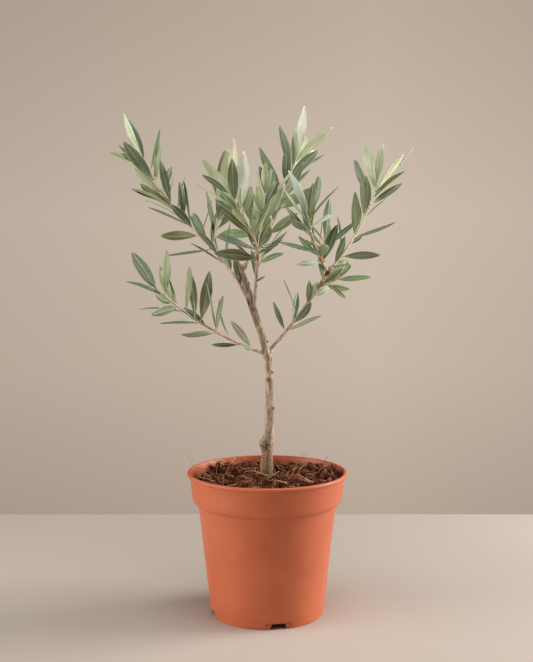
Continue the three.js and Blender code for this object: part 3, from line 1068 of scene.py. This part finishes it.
def spray(limb, seed, start, step, pairs, turn, spread, leaf, lost, tints):
    """One run of opposite pairs: a list of leaves, each a dict of where it is and how it is turned. Each
    leaf has eight rolls of the dice, and its pair stands and turns by those of the pair's first leaf."""
    dice = random.Random(seed)
    rolls = [[dice.random() for _ in range(8)] for _ in range(2 * pairs)]
    words = tints.split()
    leaves = []
    for number, roll in enumerate(rolls):
        pair, first = number // 2, rolls[number - number % 2]
        foot, ahead = along_limb(limb, start + step * (pair + either_way(first[0], 0.2)))
        side = unit(np.cross(ahead, (0, 0, 1)))
        above = np.cross(side, ahead)
        pair_turn = turn + 90 * pair + 180 * (number % 2)
        around = math.radians(pair_turn + either_way(first[1], 14) + either_way(roll[2], 20))
        outward = math.cos(around) * above + math.sin(around) * side
        widening = spread[0] + (spread[1] - spread[0]) * pair / max(1, pairs - 1)
        lean = math.radians(min(110, max(4, widening + either_way(roll[3], 18))))
        towards = unit(math.cos(lean) * ahead + math.sin(lean) * outward + to_light * np.array([0, 0, 1]))
        length = leaf * (0.74 + 0.46 * roll[4])
        level = unit(np.cross(towards, ahead))
        upper = np.cross(level, towards)
        twist = math.radians(either_way(roll[5], 55))
        across = math.cos(twist) * level + math.sin(twist) * upper
        if roll[7] < lost:
            continue
        leaves.append(
            dict(
                foot=foot, towards=towards, across=across, upper=np.cross(across, towards),
                length=length, width=length * (0.17 + 0.1 * roll[6]),
                tint=words[len(leaves) % len(words)], seed=seed * 100 + number,
            )
        )
    return leaves


# %% Shape of one leaf
# Share of the blade's length and of its half width: narrow at the stalk, fullest past the middle, with
# a short point.
blade_outline = [
    (0.0, 0.1), (0.07, 0.3), (0.18, 0.62), (0.32, 0.88), (0.46, 0.99), (0.6, 0.98), (0.73, 0.83),
    (0.85, 0.58), (0.94, 0.33), (1.0, 0.06),
]
stalk = 3.6
stalk_radius = 0.42
blade_thickness = 0.32
rib_half = 0.26
edge_share = 0.92
points_round = 14


def turned(first, second, angle):
    """Two directions at right angles, turned in their own plane: the first one towards the second."""
    towards = math.cos(angle) * first + math.sin(angle) * second
    return towards, math.cos(angle) * second - math.sin(angle) * first


def leaf_shape(leaf):
    """Points and faces of a leaf as a thin closed blade on a stalk, the part that each face is, and the
    place of each point on the flattened leaf in millimetres: across, along and a number for the leaf."""
    dice = random.Random(leaf["seed"])
    curl = math.radians(dice.uniform(-16, 26))
    twist = math.radians(dice.uniform(-22, 22))
    cup = dice.uniform(0.04, 0.3)
    rolled = dice.uniform(0.02, 0.16)
    blade = leaf["length"] - stalk
    stations = [(0.0, None), (0.5 * stalk, None)] + [(stalk + blade * u, half) for u, half in blade_outline]
    bow = math.radians(dice.uniform(-14, 14))
    rings, middles, flat = [], [], []
    here = leaf["foot"].copy()
    last = 0.0
    for distance, half in stations:
        share = distance / leaf["length"]
        towards, upper = turned(leaf["towards"], leaf["upper"], curl * (0.5 - share))
        towards, _ = turned(towards, leaf["across"], bow * (0.5 - share))
        across, upper = turned(leaf["across"], upper, twist * (share - 0.5))
        here = here + towards * (distance - last)
        last = distance
        middles.append(here)
        if half is None:
            outline = ring_of_stalk(stalk_radius * (1.6 if distance == 0.0 else 1.0))
        else:
            outline = ring_of_blade(max(0.16, half * leaf["width"] / 2), cup, rolled)
        rings.append([across * x + upper * z for x, z in outline])
        flat += [(x, distance, leaf["seed"] % 89) for x, _ in outline]
    short_by = leaf["foot"] + leaf["towards"] * leaf["length"] - middles[-1]
    points = [
        middle + short_by * distance / leaf["length"] + point
        for middle, (distance, _), outline in zip(middles, stations, rings)
        for point in outline
    ]
    faces, parts = [], []
    for low in range(0, len(points) - points_round, points_round):
        high = low + points_round
        for k in range(points_round):
            right = (k + 1) % points_round
            faces.append((low + k, low + right, high + right, high + k))
            parts.append("stalk" if low < 2 * points_round else part_of_strip[k])
    faces.append(tuple(range(points_round - 1, -1, -1)))
    faces.append(tuple(range(len(points) - points_round, len(points))))
    parts += ["stalk", "edge"]
    return points, faces, parts, flat


def ring_of_stalk(radius):
    """The points round a stalk, in the order of the blade's."""
    turns = [math.pi - k * 2 * math.pi / points_round for k in range(points_round)]
    return [(radius * math.cos(t), radius * math.sin(t)) for t in turns]


def ring_of_blade(half, cup, rolled):
    """The points round a blade: eight over the top from edge to edge, and six back underneath."""
    rib = min(rib_half, 0.3 * half)
    tops = [-half, -edge_share * half, -0.5 * half, -rib, rib, 0.5 * half, edge_share * half, half]

    def lie(x):
        share = abs(x) / half
        return half * (cup * share**1.4 - rolled * share**4)

    over = [(x, lie(x) - (0.12 * rib if abs(x) == rib else 0.0)) for x in tops]
    under = []
    for x in reversed(tops[1:-1]):
        thick = min(blade_thickness, 0.5 * half) * (1.7 if abs(x) == rib else 1.0)
        under.append((x, lie(x) - thick))
    return over + under


part_of_strip = (
    ["edge", "upper", "upper", "rib", "upper", "upper", "edge"]
    + ["edge", "under", "under", "under_rib", "under", "under", "edge"]
)

# %% [markdown]
# ### Leaf finishes
#
# The upper side of an olive leaf is a waxy grey green with a soft shine. The underside is felted with
# fine scales, so it is matt, and paler than the upper side of all but the palest leaves. The midrib and
# the rolled edge are a thin pale yellow green. Leaves age from a bright yellow green to blue green to
# olive brown, and shine pale where they face the light: on the pale and cream leaves that shine is
# painted into the upper side's colour as a painted sheen. So each spray is dealt its own mix of plain
# colours.


# %% Leaf finishes
def leaf_side(name, colour, roughness, shine, deeper, paler):
    """One side of a leaf: its colour in fine streaks that run the length of the blade."""
    finish, tree, shader, place = new_finish(
        name, {"Roughness": roughness, "Specular IOR Level": shine, "IOR": 1.45}
    )
    on_blade = add_node(tree, "Attribute", {"attribute_name": "blade_mm"}, output="Vector")
    # Real veins are a few tenths of a millimetre apart. They are drawn 2.2 mm apart, so that they show.
    veins = add_node(tree, "VectorMath", {"operation": "MULTIPLY"}, {0: on_blade, 1: (1 / 2.2, 1 / 24, 1)})
    streaks = add_node(
        tree, "TexNoise", inputs={"Vector": veins, "Scale": 1.0, "Detail": 1.0, "Roughness": 0.5}
    )
    patches = add_node(
        tree, "TexNoise", inputs={"Vector": place, "Scale": 1 / (14 * MM), "Detail": 1.0, "Roughness": 0.5}
    )
    reach = {"From Min": 0.3, "From Max": 0.7, "To Min": -0.1, "To Max": 0.1}
    uneven = add_node(tree, "MapRange", inputs={"Value": patches} | reach)
    shade = add_node(tree, "Math", {"operation": "ADD"}, {0: uneven, 1: streaks})
    streaked = add_node(
        tree, "ValToRGB", inputs={"Fac": shade}, stops=[(0.26, deeper), (0.5, colour), (0.74, paler)]
    )
    tree.links.new(streaked, shader.inputs["Base Color"])
    bump = add_node(tree, "Bump", inputs={"Height": streaks, "Strength": 0.12, "Distance": 0.06 * MM})
    tree.links.new(bump, shader.inputs["Normal"])
    return finish


upper_sides = {
    "dark": leaf_side("leaf_upper_dark", "#4F6145", 0.4, 0.5, "#3B4D34", "#667857"),
    "green": leaf_side("leaf_upper_green", "#687E55", 0.4, 0.5, "#526841", "#82966A"),
    "olive": leaf_side("leaf_upper_olive", "#70714E", 0.45, 0.45, "#5D5F3D", "#858462"),
    "brown": leaf_side("leaf_upper_brown", "#787151", 0.45, 0.45, "#615B3F", "#8D8565"),
    "blue": leaf_side("leaf_upper_blue", "#7F8C78", 0.4, 0.5, "#6A7765", "#97A38F"),
    "young": leaf_side("leaf_upper_young", "#8CA85C", 0.4, 0.5, "#769448", "#A6BE76"),
    "moss": leaf_side("leaf_upper_moss", "#8F9A70", 0.45, 0.45, "#7B865C", "#A5AF88"),
    "sage": leaf_side("leaf_upper_sage", "#AFB38E", 0.45, 0.45, "#9BA079", "#C3C6A6"),
    "silver": leaf_side("leaf_upper_silver", "#BFC7B6", 0.4, 0.5, "#A8B1A0", "#D3D9CB"),
    # Pale and cream are painted sheen: the upper side coloured as it looks where it shines in the light.
    "pale": leaf_side("leaf_upper_pale_painted_sheen", "#CCCAA9", 0.45, 0.45, "#B4B691", "#DFDAC1"),
    "cream": leaf_side("leaf_upper_cream_painted_sheen", "#F0EFDD", 0.45, 0.45, "#DCDCC2", "#FAF9EE"),
}
under_sides = {
    "dusky": leaf_side("leaf_under_dusky", "#748066", 0.75, 0.2, "#636F56", "#838F78"),
    "moss": leaf_side("leaf_under_moss", "#929C7B", 0.75, 0.2, "#7F8A68", "#A5AE90"),
    "sage": leaf_side("leaf_under_sage", "#B4BC97", 0.75, 0.2, "#9DA680", "#CAD0B0"),
    "silver": leaf_side("leaf_under_silver", "#A9B6A0", 0.75, 0.2, "#94A28B", "#BFCAB6"),
    "pale": leaf_side("leaf_under_pale", "#D4D9B5", 0.75, 0.2, "#BEC59C", "#E5E8CD"),
    "cream": leaf_side("leaf_under_cream", "#DFDECE", 0.7, 0.2, "#CECEB8", "#ECEBE0"),
}
rib_finish = leaf_side("leaf_rib", "#A8B086", 0.6, 0.3, "#969E74", "#BAC09C")
edge_finish = leaf_side("leaf_edge", "#A9B084", 0.6, 0.3, "#979F70", "#BCC298")
stalk_finish = leaf_side("leaf_stalk", "#D2CE92", 0.6, 0.3, "#BDB97C", "#E0DCA8")

# A leaf's tint names the finish of its upper side, and this is the underside that goes with each tint.
under_side_of = {
    "dark": "dusky", "green": "dusky", "olive": "moss", "brown": "moss", "blue": "moss", "young": "moss",
    "moss": "sage", "sage": "sage", "silver": "silver", "pale": "pale", "cream": "cream",
}
# On the palest leaves the rib and the rolled edge are no paler than the blade, so they don't show.
ribless = {"sage", "silver", "pale", "cream"}
print("leaf finishes:", len(upper_sides) + len(under_sides) + 3)

# %% The sprays on each limb
# Each run: its start on the limb, the step from pair to pair, its pairs, the turn of the first pair, the
# spread from foot to tip, the leaves' length, the share of leaves lost, and the colours in the mix.
sprays = {
    "lower_left": [
        (16, 11, 4, 45, (60, 60), 34, 0.3, "olive green dark"),
        (50, 9, 3, 0, (60, 60), 38, 0.3, "green brown dark"),
        (75, 9, 3, 30, (60, 50), 40, 0.2, "olive dark brown green"),
        (100, 8, 3, 60, (60, 30), 40, 0, "moss dark green"),
    ],
    "upper_left": [
        (22, 9, 5, 90, (65, 50), 34, 0.2, "olive dark green"),
        (65, 8, 4, 0, (60, 50), 44, 0.1, "dark olive green"),
        (95, 8, 4, 45, (50, 45), 44, 0.1, "dark olive moss"),
        (125, 9, 3, 0, (50, 45), 44, 0.1, "moss dark olive"),
        (148, 9, 3, 105, (50, 25), 42, 0, "sage dark moss green"),
    ],
    "upper_left_side": [
        (8, 8, 3, 0, (60, 45), 40, 0, "dark green olive"),
        (30, 7, 3, 45, (45, 25), 42, 0, "dark olive moss"),
    ],
    "centre": [
        (28, 14, 2, 0, (60, 50), 38, 0.2, "olive dark"),
        (48, 6, 5, 45, (70, 50), 36, 0, "dark green olive blue"),
        (76, 7, 5, 0, (55, 50), 36, 0, "moss dark olive green"),
        (108, 7, 3, 0, (50, 30), 40, 0, "cream moss sage dark green pale"),
    ],
    "centre_side": [
        (8, 8, 3, 0, (60, 50), 34, 0, "dark green olive"),
        (30, 6, 5, 45, (50, 30), 34, 0, "moss dark olive sage"),
    ],
    "back": [
        (35, 12, 3, 0, (60, 50), 40, 0.2, "dark green olive"),
        (68, 8, 4, 45, (55, 50), 42, 0.1, "olive dark brown green"),
        (98, 10, 3, 0, (50, 40), 44, 0, "dark moss green"),
        (122, 7, 3, 0, (45, 25), 45, 0, "sage cream moss dark"),
    ],
    "right": [
        (24, 10, 4, 0, (50, 50), 36, 0.2, "dark blue green"),
        (62, 10, 3, 45, (60, 60), 35, 0.3, "green olive dark"),
    ],
    "inner_right": [
        (8, 7, 4, 45, (65, 55), 36, 0.1, "dark blue green"),
        (36, 8, 3, 0, (50, 40), 42, 0.1, "blue olive dark"),
        (54, 7, 3, 45, (55, 30), 46, 0, "dark silver moss blue"),
    ],
    "inner_right_side": [
        (5, 8, 3, 0, (50, 40), 35, 0, "blue moss dark"),
    ],
    "outer_right": [
        (10, 12, 3, 45, (60, 50), 36, 0.2, "blue dark olive"),
        (45, 10, 3, 0, (55, 45), 42, 0.2, "blue olive dark"),
        (72, 9, 2, 45, (50, 40), 42, 0.1, "olive dark"),
        (88, 8, 3, 0, (55, 30), 50, 0, "silver moss pale sage"),
    ],
    "low_right": [
        (5, 6, 4, 45, (60, 30), 30, 0.1, "green young olive dark"),
    ],
}
grown, seed = {}, 0
for limb, runs in sprays.items():
    grown[limb] = []
    for run in runs:
        seed += 1
        grown[limb] += spray(limb, seed, *run)
print("leaves on each limb:", {limb: len(leaves) for limb, leaves in grown.items()})


# %% Leaf meshes
leaf_finishes = [*upper_sides.values(), *under_sides.values(), rib_finish, edge_finish, stalk_finish]


def finish_of_part(tint):
    """The finish of each part of a leaf of one tint."""
    upper, under = upper_sides[tint], under_sides[under_side_of[tint]]
    if tint in ribless:
        rib, under_rib, edge = upper, under, under
    else:
        rib, under_rib, edge = rib_finish, rib_finish, edge_finish
    return {
        "upper": upper, "under": under, "rib": rib, "under_rib": under_rib, "edge": edge,
        "stalk": stalk_finish,
    }


def leafy_piece(name, leaves):
    """All the leaves of one limb as one joined mesh, smooth but for the rolled edges."""
    shapes, numbers, flats, smooth = [], [], [], []
    for leaf in leaves:
        points, faces, parts, flat = leaf_shape(leaf)
        shapes.append((points, faces))
        finishes = finish_of_part(leaf["tint"])
        numbers += [leaf_finishes.index(finishes[part]) for part in parts]
        smooth += [part != "edge" for part in parts]
        flats += flat
    points, faces = gathered(shapes)
    piece = mesh_piece(name, points * MM, faces, numbers, leaf_finishes)
    piece.data.polygons.foreach_set("use_smooth", smooth)
    on_blade = piece.data.attributes.new("blade_mm", "FLOAT_VECTOR", "POINT")
    on_blade.data.foreach_set("vector", np.array(flats).ravel())
    return piece


masses = [node for node in frame["nodes"] if node.startswith("foliage_")]
for limb in [name for name in grown if name.endswith("_side")]:
    grown[limb.removesuffix("_side")] += grown.pop(limb)
for limb, leaves in grown.items():
    piece = leafy_piece("leaves_" + limb, leaves)
    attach(piece, "root")
    mine = [node for node in masses if node.startswith("foliage_" + limb + "_")]
    if mine:
        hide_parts(*mine)
    print(piece.name, len(leaves), "leaves,", len(piece.data.polygons), "faces, for", len(mine), "masses")

# %% Last update of the view layer
bpy.context.view_layer.update()
